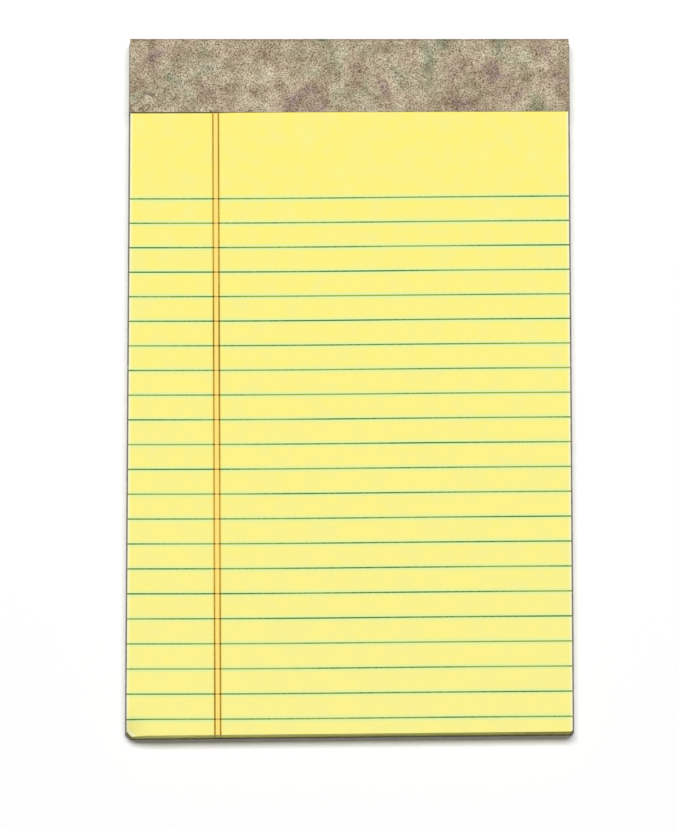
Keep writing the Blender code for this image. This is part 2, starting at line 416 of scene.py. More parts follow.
@dataclass(frozen=True)
class Ruling:
    """The print of a sheet: rules that bleed off both sides and a double margin line."""

    turn: float = math.radians(0.41)
    header: float = 46.99 * MM  # from the head to the first rule
    pitch: float = 7.218 * MM
    rules: int = 22
    rule_width: float = 0.42 * MM
    margin_inset: float = 24.75 * MM  # from the left side to the first margin line, half way down
    margin_spacing: float = 1.59 * MM
    margin_width: float = 0.45 * MM
    sway: Span = (0.105 * MM, 0.060 * MM)
    sway_reach: float = 120.0 * MM

    def sway_at(self, x: float | Array) -> float | Array:
        """Return how far the rules sag below a straight line: one arch and a smaller double one."""
        share = x / self.sway_reach + 0.5
        return self.sway[0] * np.sin(np.pi * share) + self.sway[1] * np.sin(2.0 * np.pi * share)

    def first_rule(self, plan: PadPlan) -> float:
        """Return y of the first rule from the middle of the sheet, along the print."""
        return plan.head_y - self.header - plan.middle_y

    def rule_y(self, plan: PadPlan, row: Array, x: float | Array) -> Array:
        """Return y of a rule, counted from 0, at x: a line turned with the print, less its sway."""
        offset = (self.first_rule(plan) - self.pitch * row) / math.cos(self.turn)
        return plan.middle_y + offset + math.tan(self.turn) * x - self.sway_at(x)

    def first_margin(self, plan: PadPlan) -> float:
        """Return x of the left margin line along the print."""
        return self.margin_inset - plan.side_x

    def margin_edges(self, plan: PadPlan, y: float | Array, spread: float = 1.0) -> list:
        """Return x of both edges of both margin lines at y: lines turned with the print.

        Args:
            plan: where the pad's layers lie.
            y: where along the pad.
            spread: how many times its plain width a line has.

        Returns:
            The four x, from left to right.
        """
        starts = self.first_margin(plan) + self.margin_spacing * np.arange(2)
        half = spread * self.margin_width / 2.0
        slant = math.tan(self.turn) * (y - plan.middle_y)
        lines = [start / math.cos(self.turn) - slant for start in starts]
        return [line + off for line in lines for off in (-half, half)]

    def coordinates(self, plan: PadPlan, points: Array) -> Array:
        """Return where points lie in the print: across and along it from its first lines."""
        x, y = points[..., 0], points[..., 1] - plan.middle_y
        across = x + math.tan(self.turn) * y - self.first_margin(plan)
        along = self.first_rule(plan) - y + math.tan(self.turn) * x - self.sway_at(x)
        return np.stack([across, along, np.zeros_like(across)], axis=-1)


@dataclass(frozen=True)
class Layers:
    """How far the edges of flat layers stand in from the board's, and their corner radii.

    Each field is an array with a number for each layer.
    """

    left: Array
    right: Array
    foot: Array
    head: Array
    left_corner: Array
    right_corner: Array


@dataclass(frozen=True)
class Outline:
    """Where the points of layers' outlines lie along their sides and their foot.

    An outline runs counter-clockwise: down the left side, round the left foot corner, along the
    foot, round the right foot corner and up the right side. Each array has a row for each layer.
    """

    left_y: Array
    right_y: Array
    foot_x: Array
    corner_steps: int = 8

    @property
    def rungs(self) -> int:
        """How many points of the left side and corner have a partner on the right."""
        return self.left_y.shape[1] + self.corner_steps - 1

    def loops(self, plan: PadPlan, layers: Layers) -> tuple[Array, Array]:
        """Work out the outlines: straight sides and foot, and a worn slope at each foot corner.

        Args:
            plan: where the pad's layers lie.
            layers: the layers' insets and corner radii.

        Returns:
            The points as (layer, point, xy), and the direction out of the layer at each of them.
        """
        x_left = layers.left - plan.side_x
        x_right = plan.side_x - layers.right
        y_left = plan.foot_at(x_left) + layers.foot
        y_right = plan.foot_at(x_right) + layers.foot
        top_y = plan.head_y - layers.head
        start = x_left + layers.left_corner
        end = x_right - layers.right_corner
        quarter = np.linspace(np.pi, 1.5 * np.pi, self.corner_steps + 1)[1:-1]
        next_quarter = quarter + np.pi / 2.0
        left = self._side(self.left_y, x_left, top_y, y_left + layers.left_corner)
        right = self._side(self.right_y, x_right, top_y, y_right + layers.right_corner)
        foot_x = np.clip(self.foot_x, start[:, None], end[:, None])
        foot_x[:, 0] = start
        foot_x[:, -1] = end
        foot = np.stack([foot_x, plan.foot_at(foot_x) + layers.foot[:, None]], axis=-1)
        parts = [
            (left, np.full(left.shape[1], np.pi)),
            (self._corner(start, y_left, layers.left_corner, quarter), quarter),
            (foot, np.full(foot.shape[1], 1.5 * np.pi)),
            (self._corner(end, y_right, layers.right_corner, next_quarter), next_quarter),
            (right[:, ::-1], np.full(right.shape[1], 2.0 * np.pi)),
        ]
        points = np.concatenate([part for part, _ in parts], axis=1)
        angles = np.concatenate([angle for _, angle in parts])
        outward = np.stack([np.cos(angles), np.sin(angles)], axis=-1)
        return points, np.broadcast_to(outward, points.shape)

    def wall_slots(self, side_slots: Array, foot_slots: Array) -> Array:
        """Return the slot of the wall from each point of an outline to the next."""
        corner = np.zeros(self.corner_steps, dtype=int)
        runs = [side_slots, corner, foot_slots, corner, side_slots[::-1], [Slot.PAPER]]
        return np.concatenate(runs)

    @staticmethod
    def _side(stations: Array, x: Array, top_y: Array, low_y: Array) -> Array:
        """Return the points of a long side, from the head to where its foot corner starts."""
        y = np.clip(stations, low_y[:, None], top_y[:, None])
        y[:, 0] = top_y
        y[:, -1] = low_y
        return np.stack([np.broadcast_to(x[:, None], y.shape), y], axis=-1)

    @staticmethod
    def _corner(x: Array, y: Array, radius: Array, angles: Array) -> Array:
        """Return the inner points of a corner that is centred at x and a radius above y."""
        reach = radius[:, None] * worn(np.cos(angles), np.sin(angles))
        across = x[:, None] + reach * np.cos(angles)
        return np.stack([across, (y + radius)[:, None] + reach * np.sin(angles)], axis=-1)


@dataclass(frozen=True)
class Mottle:
    """An uneven pattern: a noise with grains of a real size, or of one for each of x, y and z.

    A band of the noise is stretched to run from 0 to the pattern's strength.
    """

    size: float | tuple[float, float, float]
    detail: float = 2.0
    roughness: float = 0.5
    warp: float = 0.0
    band: Span | None = None
    strength: float = 1.0

    def share(self, tree: Tree, place_at: Socket) -> Socket:
        """Return the pattern's value at a place.

        Args:
            tree: the material's node tree.
            place_at: the socket that holds the place.

        Returns:
            The socket that holds the value, from 0 to the strength.
        """
        if isinstance(self.size, tuple):
            stretch = {"Scale": tuple(1.0 / size for size in self.size)}
            place_at, scale = add_node(tree, "Mapping", place_at, named=stretch), 1.0
        else:
            scale = 1.0 / self.size
        grains = {"Scale": scale, "Detail": self.detail, "Roughness": self.roughness}
        noise = add_node(tree, "TexNoise", place_at, named={**grains, "Distortion": self.warp})
        if self.band is None:
            return noise
        return add_node(tree, "MapRange", noise, *self.band, 0.0, self.strength)


@dataclass(frozen=True, kw_only=True)
class Finish:
    """What the pad's finishes share: a named material with one Principled shader."""

    name: str
    roughness: float = 0.9
    specular: float = 0.2
    metallic: float = 0.0
    tooth: Mottle | None = None  # its fine relief, if it has one that shows
    tooth_strength: float = 0.0
    tooth_depth: float = 0.0

    def colour(self, tree: Tree, place_at: Socket) -> Socket:
        """Return the socket that holds the finish's colour."""
        raise NotImplementedError

    def material(self) -> bpy.types.Material:
        """Build the material, whose patterns read Object coordinates."""
        material = bpy.data.materials.new(self.name)
        material.use_nodes = True
        tree = material.node_tree
        shader = tree.nodes["Principled BSDF"]
        shader.inputs["Roughness"].default_value = self.roughness
        shader.inputs["Specular IOR Level"].default_value = self.specular
        shader.inputs["Metallic"].default_value = self.metallic
        place_at = add_node(tree, "TexCoord").node.outputs["Object"]
        tree.links.new(self.colour(tree, place_at), shader.inputs["Base Color"])
        if self.tooth is not None:
            relief = {"Strength": self.tooth_strength, "Distance": self.tooth_depth}
            relief["Height"] = self.tooth.share(tree, place_at)
            tree.links.new(add_node(tree, "Bump", named=relief), shader.inputs["Normal"])
        return material


@dataclass(frozen=True, kw_only=True)
class TwoTone(Finish):
    """A finish whose low tone runs into its high tone in an uneven pattern."""

    low_hex: str
    high_hex: str
    mottle: Mottle

    def colour(self, tree: Tree, place_at: Socket) -> Socket:
        """Return the finish's colour: the two tones, mixed by the pattern."""
        share = self.mottle.share(tree, place_at)
        return mark(tree, linear(self.low_hex), [(share, self.high_hex)])


@dataclass(frozen=True, kw_only=True)
class YellowPaper(Finish):
    """Uncoated yellow writing paper: a flat, chalky yellow with faint clouds and pale rims.

    The dye is a little stronger at the head than at the foot, the rims are paler, and both
    inks have feathered a little into the paper beside their lines.
    """

    name: str = "uncoated_yellow_paper"
    plan: PadPlan
    ruling: Ruling
    head_hex: str = "fbef78"
    foot_hex: str = "fcf38e"
    cloud_hex: str = "f4ef98"
    clouds: Mottle = Mottle(5.0 * MM, 6.0, 0.65, band=(0.42, 0.72), strength=0.65)
    rim_hex: str = "f8f7c8"
    rim_reach: Span = (0.0, 1.05 * MM)  # full up to here, gone from there
    worn_corner: float = 1.4 * MM  # from the left foot corner to its worn slope's pale rim
    margin_halo_hex: str = "fde27a"
    margin_halo: Span = (0.6 * MM, 1.9 * MM)
    rule_halo_hex: str = "e2f3a4"
    rule_halo: Span = (0.2 * MM, 1.5 * MM)
    # painted shadow: a thin dark line below the loose left end of the tape's edge
    painted_shadow_hex: str = "75703f"
    painted_shadow_line: Span = (0.12 * MM, 0.42 * MM)
    painted_shadow_end: Span = (-41.0 * MM, -31.0 * MM)  # the painted shadow line ends between these x

    def colour(self, tree: Tree, place_at: Socket) -> Socket:
        """Return the paper's colour: dye, clouds, feathered ink, pale rims and a painted shadow
        line.
        """
        x, y, _ = add_node(tree, "SeparateXYZ", place_at).node.outputs
        printed = add_node(tree, "Attribute", attribute_name=PRINT).node.outputs["Vector"]
        across, along, _ = add_node(tree, "SeparateXYZ", printed).node.outputs
        near_rule = self._near(tree, self._rule_distance(tree, along), self.rule_halo)
        near_margin = self._near(tree, self._margin_distance(tree, across), self.margin_halo)
        near_rim = self._near(tree, self._rim_distance(tree, x, y), self.rim_reach)
        marks = [
            (add_node(tree, "MapRange", y, self.plan.head_y, self.plan.foot_y), self.foot_hex),
            (self.clouds.share(tree, place_at), self.cloud_hex),
            (near_rule, self.rule_halo_hex),
            (near_margin, self.margin_halo_hex),
            (near_rim, self.rim_hex),
            (self._painted_shadow(tree, x, y), self.painted_shadow_hex),
        ]
        return mark(tree, linear(self.head_hex), marks)

    def _near(self, tree: Tree, distance: Socket, reach: Span) -> Socket:
        """Return an eased share: 1 up to the reach's first distance, 0 from its last one."""
        eased = {"interpolation_type": "SMOOTHERSTEP"}
        return add_node(tree, "MapRange", distance, *reach, 1.0, 0.0, **eased)

    def _painted_shadow(self, tree: Tree, x: Socket, y: Socket) -> Socket:
        """Return how much painted shadow shows: a thin line below the left end of the tape's edge.
        """
        slope = FRONT_SKEW / (self.plan.tape_high[0] - self.plan.tape_low[0])
        tape_y = self.plan.head_y - FRONT_FLAP
        edge = add_node(tree, "Math", x, slope, tape_y, operation="MULTIPLY_ADD")
        below = add_node(tree, "Math", edge, y, operation="SUBTRACT")
        line, end = self._near(tree, below, self.painted_shadow_line), self._near(tree, x, self.painted_shadow_end)
        return add_node(tree, "Math", line, end, operation="MULTIPLY")

    def _rule_distance(self, tree: Tree, along: Socket) -> Socket:
        """Return the distance to the nearest rule, along the print."""
        pitch = self.ruling.pitch
        held = add_node(tree, "Clamp", along, 0.0, pitch * (self.ruling.rules - 1))
        past = add_node(tree, "Math", held, pitch / 2.0, operation="ADD")
        nearest = add_node(tree, "Math", past, pitch, operation="SNAP")
        off = add_node(tree, "Math", along, nearest, operation="SUBTRACT")
        return add_node(tree, "Math", off, operation="ABSOLUTE")

    def _margin_distance(self, tree: Tree, across: Socket) -> Socket:
        """Return the distance to the middle between the two margin lines."""
        off = add_node(tree, "Math", across, self.ruling.margin_spacing / 2.0, operation="SUBTRACT")
        return add_node(tree, "Math", off, operation="ABSOLUTE")

    def _rim_distance(self, tree: Tree, x: Socket, y: Socket) -> Socket:
        """Return the distance to the nearest of the long sides and the worn left foot corner."""
        out = add_node(tree, "Math", x, operation="ABSOLUTE")
        side = add_node(tree, "Math", self.plan.side_x - SIDE_DRAW, out, operation="SUBTRACT")
        layer_corner = self.plan.left_corner(SIDE_DRAW, FOOT_DRAW)
        corner = past_corner(tree, x, y, layer_corner, self.worn_corner)
        return add_node(tree, "Math", side, corner, operation="MINIMUM")


@dataclass(frozen=True, kw_only=True)
class PrintedInk(Finish):
    """Thin ruling ink on yellow paper: a line that is fuller in some places than in others."""

    full_hex: str
    starved_hex: str
    blots: Mottle = Mottle(0.9 * MM)
    blot_part: float = 0.5
    drift: Mottle = Mottle((45.0 * MM, 5.0 * MM, 5.0 * MM), 1.0)  # the ink stays alike for so long
    cover: Span = (0.6, 0.9)

    def colour(self, tree: Tree, place_at: Socket) -> Socket:
        """Return the ink's colour, which drifts along the line and is broken up by small blots."""
        drift, blots = (pattern.share(tree, place_at) for pattern in (self.drift, self.blots))
        both = add_node(tree, "Math", blots, self.blot_part, drift, operation="MULTIPLY_ADD")
        share = add_node(tree, "MapRange", both, *self.cover)
        return mark(tree, linear(self.starved_hex), [(share, self.full_hex)])


@dataclass(frozen=True, kw_only=True)
class CutPaper(TwoTone):
    """Guillotined edges of a stack of yellow paper: duller and darker than its face, partly by
    painted shade of the gaps between the sheets, and uneven by the sheet.

    The long sides are darkened by painted shade, and the worn left foot corner shows pale torn
    fibres with a painted highlight. The streaks run along the edges and are a little thicker than
    one sheet, which is too fine to show.
    """

    name: str = "guillotined_yellow_paper"
    plan: PadPlan
    # both tones are darker than the face: partly the duller cut paper, partly painted shade of the
    # gaps between sheets
    low_hex: str = "c8c66c"
    high_hex: str = "ebe786"
    mottle: Mottle = Mottle((9.0 * MM, 9.0 * MM, 0.14 * MM), 3.0, band=(0.3, 0.7))
    # painted shade on the long sides: the colour darkens towards their edges
    painted_side_shade_hex: str = "8c8656"
    painted_side_shade_share: float = 0.6
    painted_side_shade_reach: Span = (1.0 * MM, 0.2 * MM)  # none from here in, full from there out
    # pale torn fibres with a painted highlight: near white, so the corner's shaded wall looks lit
    pale_fibre_highlight_hex: str = "fffdea"
    fibre_highlight_depth: Span = (2.1 * MM, 3.0 * MM)  # full down to here, gone from there
    fibre_highlight_reach: Span = (1.6 * MM, 2.0 * MM)  # the same inwards from the corner

    def colour(self, tree: Tree, place_at: Socket) -> Socket:
        """Return the edge's colour: streaks, painted shade on the long sides, pale fibres with
        painted highlight.
        """
        # the fibres mark is partly pale torn fibres and partly a painted highlight on the shaded
        # corner
        painted_side_shade, fibres = self._painted_side_shade(tree, place_at), self._fibre_highlight(tree, place_at)
        marks = [(painted_side_shade, self.painted_side_shade_hex), (fibres, self.pale_fibre_highlight_hex)]
        return mark(tree, super().colour(tree, place_at), marks)

    def _painted_side_shade(self, tree: Tree, place_at: Socket) -> Socket:
        """Return how much painted shade a place has: full on the long sides, and gone a little way
        in.
        """
        x = add_node(tree, "SeparateXYZ", place_at)
        out = add_node(tree, "Math", x, operation="ABSOLUTE")
        edges = (self.plan.side_x - SIDE_DRAW - reach for reach in self.painted_side_shade_reach)
        return add_node(tree, "MapRange", out, *edges, 0.0, self.painted_side_shade_share)

    def _fibre_highlight(self, tree: Tree, place_at: Socket) -> Socket:
        """Return how pale a place is, by pale fibres and a painted highlight: full on the upper
        half of the left foot corner's slope.
        """
        x, y, z = add_node(tree, "SeparateXYZ", place_at).node.outputs
        past = past_corner(tree, x, y, self.plan.left_corner())
        depth = add_node(tree, "Math", self.plan.block_top, z, operation="SUBTRACT")
        near = add_node(tree, "MapRange", past, *self.fibre_highlight_reach, 1.0, 0.0)
        high = add_node(tree, "MapRange", depth, *self.fibre_highlight_depth, 1.0, 0.0)
        return add_node(tree, "Math", near, high, operation="MULTIPLY")


@dataclass(frozen=True, kw_only=True)
class StonePrint(Finish):
    """Matt paper tape with a mottled stone print: tan, with mauve and grey-green patches.

    A fine grain of every size from a grain of sand up gives it the look of sandstone, and a few
    dark specks and hair cracks break it up. Its finest grit and the paper's own tooth are too fine
    to show, so both are drawn coarser than they are.
    """

    name: str = "stone_printed_paper_tape"
    plan: PadPlan
    roughness: float = 0.75
    specular: float = 0.25
    tooth: Mottle = Mottle(0.35 * MM, 3.0)
    tooth_strength: float = 0.35
    tooth_depth: float = 0.03 * MM
    patches: Mottle = Mottle(12.0 * MM, 4.0, 0.6, warp=0.6)
    patch_hexes: tuple[str, ...] = ("898c72", "a69e84", "aea085", "a5937d", "8a7773")
    patch_band: Span = (0.30, 0.70)  # where the first and the last patch colour lie in the noise
    grain: Mottle = Mottle(5.0 * MM, 5.0, 0.68, band=(0.28, 0.72))
    grain_range: Span = (0.55, 1.44)
    sand: Mottle = Mottle(0.40 * MM, 1.0, 0.6, warp=0.7, band=(0.32, 0.60))
    sand_range: Span = (0.25, 1.42)
    tint: tuple[float, float, float] = (-0.09, 0.0, 0.20)  # darks go brown and lights go grey
    painted_fold_reach: float = 0.9 * MM
    painted_fold_shade: float = 0.7  # painted shade darkens the fold along the head to this share
    speck_hex: str = "5a4c3c"
    speck_spacing: float = 1.7 * MM
    speck_core: Span = (0.10, 0.22)
    speck_share: float = 0.8
    speck_band: Span = (0.5, 0.6)  # specks begin where the patches' noise reaches this
    crack_hex: str = "6b5b4a"
    cracks: Mottle = Mottle(13.0 * MM, 3.0, warp=1.8)
    crack_width: Span = (0.002, 0.009)  # measured in the cracks' noise
    crack_share: float = 0.75
    crack_areas: Mottle = Mottle(13.0 / 0.6 * MM, 1.0, band=(0.5, 0.6))

    def colour(self, tree: Tree, place_at: Socket) -> Socket:
        """Return the print's colour: patches times grain and a painted shade at the fold, under
        specks and hair cracks.
        """
        patch = self.patches.share(tree, place_at)
        colour = add_node(tree, "ValToRGB", patch)
        stops = colour.node.color_ramp.elements
        levels = np.linspace(*self.patch_band, len(self.patch_hexes))
        for level, hex_colour in zip(levels, self.patch_hexes):
            stops.new(float(level)).color = linear(hex_colour)
        stops.remove(stops[0])
        stops.remove(stops[-1])
        grain = self._shade(tree, self.grain.share(tree, place_at), self.grain_range)
        sand = self._shade(tree, self.sand.share(tree, place_at), self.sand_range)
        times = {"data_type": "RGBA", "blend_type": "MULTIPLY"}
        for shade in (grain, sand, self._painted_fold_shade(tree, place_at)):
            colour = add_node(tree, "Mix", 1.0, colour, shade, **times)
        specks, cracks = self._specks(tree, place_at, patch), self._cracks(tree, place_at)
        return mark(tree, colour, [(specks, self.speck_hex), (cracks, self.crack_hex)])

    def _shade(self, tree: Tree, share: Socket, levels: Span) -> Socket:
        """Return a shade between two levels, which is tinted by how far it is from 1."""
        dark, pale = (
            (*(level + part * (level - 1.0) for part in self.tint), 1.0) for level in levels
        )
        return add_node(tree, "Mix", share, dark, pale, data_type="RGBA")

    def _painted_fold_shade(self, tree: Tree, place_at: Socket) -> Socket:
        """Return the painted shade along the head's fold, darkest at the head itself."""
        y = add_node(tree, "SeparateXYZ", place_at).node.outputs[1]
        head_y = self.plan.head_y
        return add_node(tree, "MapRange", y, head_y - self.painted_fold_reach, head_y, 1.0, self.painted_fold_shade)

    def _specks(self, tree: Tree, place_at: Socket, patch: Socket) -> Socket:
        """Return how dark a speck is: the core of a cell, only where the patch noise is high."""
        distance = add_node(tree, "TexVoronoi", place_at, 1.0 / self.speck_spacing)
        dot = add_node(tree, "MapRange", distance, *self.speck_core, self.speck_share, 0.0)
        some = add_node(tree, "MapRange", patch, *self.speck_band)
        return add_node(tree, "Math", dot, some, operation="MULTIPLY")

    def _cracks(self, tree: Tree, place_at: Socket) -> Socket:
        """Return how dark a hair crack is: thin level lines of a warped noise, in a few places."""
        off = add_node(tree, "Math", self.cracks.share(tree, place_at), 0.5, operation="SUBTRACT")
        away = add_node(tree, "Math", off, operation="ABSOLUTE")
        line = add_node(tree, "MapRange", away, *self.crack_width, self.crack_share, 0.0)
        few = self.crack_areas.share(tree, place_at)
        return add_node(tree, "Math", line, few, operation="MULTIPLY")


@dataclass(frozen=True, kw_only=True)
class TapeCore(TwoTone):
    """Unprinted kraft body of the tape, at cut edges and inner face: cream with brown fibres."""

    name: str = "cream_kraft_paper"
    low_hex: str = "b7a586"
    high_hex: str = "d8ccae"
    mottle: Mottle = Mottle(0.6 * MM, 4.0)


@dataclass(frozen=True, kw_only=True)
class Chipboard(TwoTone):
    """Grey chipboard of recycled fibre: dull, mottled pulp with dark and pale flecks.

    Its felt side is drawn coarser than it is, because it is too fine to show.
    """

    name: str = "recycled_grey_chipboard"
    roughness: float = 0.95
    tooth: Mottle = Mottle(0.8 * MM, 4.0)
    tooth_strength: float = 0.5
    tooth_depth: float = 0.04 * MM
    low_hex: str = "867f70"
    high_hex: str = "a9a192"
    mottle: Mottle = Mottle(2.4 * MM, 6.0, 0.7, band=(0.3, 0.7))
    fleck_spacing: float = 1.6 * MM
    fleck_core: Span = (0.10, 0.20)
    fleck_share: float = 0.7
    fleck_stretch: float = 0.3
    flecks: tuple[tuple[float, str], ...] = ((0.6, "d4cdbd"), (2.1, "4e483d"))  # turns and colours

    def colour(self, tree: Tree, place_at: Socket) -> Socket:
        """Return the board's colour: pulp, then short flecks of other papers."""
        marks = []
        for turn, hex_colour in self.flecks:
            turned = {"Rotation": (0.0, 0.0, turn), "Scale": (1.0, self.fleck_stretch, 1.0)}
            drawn = add_node(tree, "Mapping", place_at, named=turned)
            distance = add_node(tree, "TexVoronoi", drawn, 1.0 / self.fleck_spacing)
            fleck = add_node(tree, "MapRange", distance, *self.fleck_core, self.fleck_share, 0.0)
            marks.append((fleck, hex_colour))
        return mark(tree, super().colour(tree, place_at), marks)


@dataclass(frozen=True, kw_only=True)
class ZincWire(TwoTone):
    """Galvanised staple wire: a dull silver, drawn lengthways, in two greys of small spangles."""

    name: str = "galvanised_steel_wire"
    roughness: float = 0.38
    specular: float = 0.5
    metallic: float = 1.0
    low_hex: str = "a3a5a6"
    high_hex: str = "c4c6c6"
    mottle: Mottle = Mottle(0.7 * MM)


INKS = (  # in the order of Slot, from RULE
    PrintedInk(name="blue_green_ruling_ink", full_hex="4f7a26", starved_hex="9fab40"),
    PrintedInk(
        name="orange_red_ruling_ink",
        full_hex="96781a",
        starved_hex="c09e3a",
        drift=Mottle((5.0 * MM, 45.0 * MM, 45.0 * MM), 1.0),
    ),
    PrintedInk(name="crossed_ruling_inks", full_hex="2e1e04", starved_hex="443006"),
    PrintedInk(name="bled_ruling_inks", full_hex="b89a4c", starved_hex="d4b870"),
)


@dataclass
class TopSheet:
    """The ruled sheet that is written on: one grid whose lines follow the print and the edges."""

    plan: PadPlan
    ruling: Ruling
    thickness: float = 0.09 * MM
    corners: Span = (1.6 * MM, 0.45 * MM)  # radii of the worn foot corners
    header_steps: int = 12
    row_steps: int = 3
    foot_steps: int = 3
    corner_steps: int = 8
    left_steps: int = 14
    right_steps: int = 34
    crossing_rounds: int = 4

    def build(self, materials: list[bpy.types.Material]) -> bpy.types.Object:
        """Build the sheet and hand it to the pad.

        Args:
            materials: paper and inks, in the order of Slot.

        Returns:
            The finished piece.
        """
        x, y = self._grid()
        level = np.full_like(x, self.plan.block_top)
        points = np.stack([np.dstack([x, y, level - depth]) for depth in (0.0, self.thickness)])
        faces, slots = close_sheet(self._cell_slots())
        sheet = put_mesh("top_sheet", self.plan.crushed(points), faces, slots, materials)
        printed = self.ruling.coordinates(self.plan, points).reshape(-1)
        attribute = sheet.data.attributes.new(PRINT, "FLOAT_VECTOR", "POINT")
        attribute.data.foreach_set("vector", printed)
        place(sheet, "yellow_paper", "sheet_block")
        return sheet

    def _column_steps(self) -> list[int]:
        """Return the steps between key columns: side, corner, margin lines, corner, side."""
        return [self.corner_steps, self.left_steps, 1, 1, 1, self.right_steps, self.corner_steps]

    def _row_steps(self) -> list[int]:
        """Return the steps between key rows: head, both edges of each rule, corner, foot."""
        ruled = [1, self.row_steps] * (self.ruling.rules - 1) + [1]
        return [self.header_steps, *ruled, self.foot_steps, self.corner_steps]

    def _cell_slots(self) -> Array:
        """Return the slot of each cell: bare paper, or what is printed on it."""
        rows, columns = self._row_steps(), self._column_steps()
        ruled = np.repeat(np.arange(len(rows)) % 2 == 1, rows)
        ruled[-(self.foot_steps + self.corner_steps) :] = False
        lined = np.repeat(np.isin(np.arange(len(columns)), (2, 4)), columns)
        slots = Slot.RULE * ruled[:, None] + Slot.MARGIN * lined[None, :]
        slots[ruled, lined.argmax() + 1] = Slot.BLEND
        return slots

    def _grid(self) -> tuple[Array, Array]:
        """Work out the grid's points.

        Each grid line is a mean of the two key lines beside it. Rows are functions of x and columns
        are functions of y, both nearly straight, so a few rounds of putting one into the other
        find where they cross. Then the corner squares are drawn in to round corners.

        Returns:
            x and y of the points, a row for each line from head to foot.
        """
        row_weights, column_weights = between(self._row_steps()), between(self._column_steps())
        y = np.full((len(row_weights), len(column_weights)), self.plan.middle_y)
        for _ in range(self.crossing_rounds):
            x = np.einsum("ck,krc->rc", column_weights, self._key_columns(y))
            y = np.einsum("rk,krc->rc", row_weights, self._key_rows(x))
        return self._round_corners(x, y)

    def _key_columns(self, y: Array) -> Array:
        """Return x of the key columns at y, the first and the last along the long sides."""
        edge = np.full_like(y, self.plan.side_x - SIDE_DRAW)
        lines = self.ruling.margin_edges(self.plan, y)
        return np.stack([-edge, self.corners[0] - edge, *lines, edge - self.corners[1], edge])

    def _key_rows(self, x: Array) -> Array:
        """Return y of the key rows at x: the head, both edges of each rule, corners and foot."""
        rules = self.ruling.rule_y(self.plan, np.arange(self.ruling.rules)[:, None, None], x)
        half = self.ruling.rule_width / 2.0
        edges = np.stack([rules + half, rules - half], axis=1).reshape(-1, *x.shape)
        head = np.full_like(x, self.plan.head_y - HEAD_ROUND)
        foot = self.plan.foot_at(x) + FOOT_DRAW
        return np.concatenate([[head], edges, [foot + self._corner_reach(x), foot]])

    def _corner_reach(self, x: Array) -> Array:
        """Return the radius of the worn corners, which changes evenly from side to side."""
        return np.interp(x, (-self.plan.side_x, self.plan.side_x), self.corners)

    def _round_corners(self, x: Array, y: Array) -> tuple[Array, Array]:
        """Draw the squares at the two foot corners in to quarter circles, and wear those.

        A point at shares a and b of the way to a square's two outer edges goes to
        a * sqrt(1 - b**2 / 2) and b * sqrt(1 - a**2 / 2).
        """
        reach = self._corner_reach(x)
        edge = self.plan.side_x - SIDE_DRAW - reach
        out = np.clip((np.abs(x) - edge) / reach, 0.0, 1.0)
        start = self.plan.foot_at(x) + FOOT_DRAW + reach
        down = np.clip((start - y) / reach, 0.0, 1.0)
        across = out * np.sqrt(1.0 - down**2 / 2.0)
        along = down * np.sqrt(1.0 - out**2 / 2.0)
        kept = worn(across, along)
        return x - np.sign(x) * reach * (out - kept * across), y + reach * (down - kept * along)


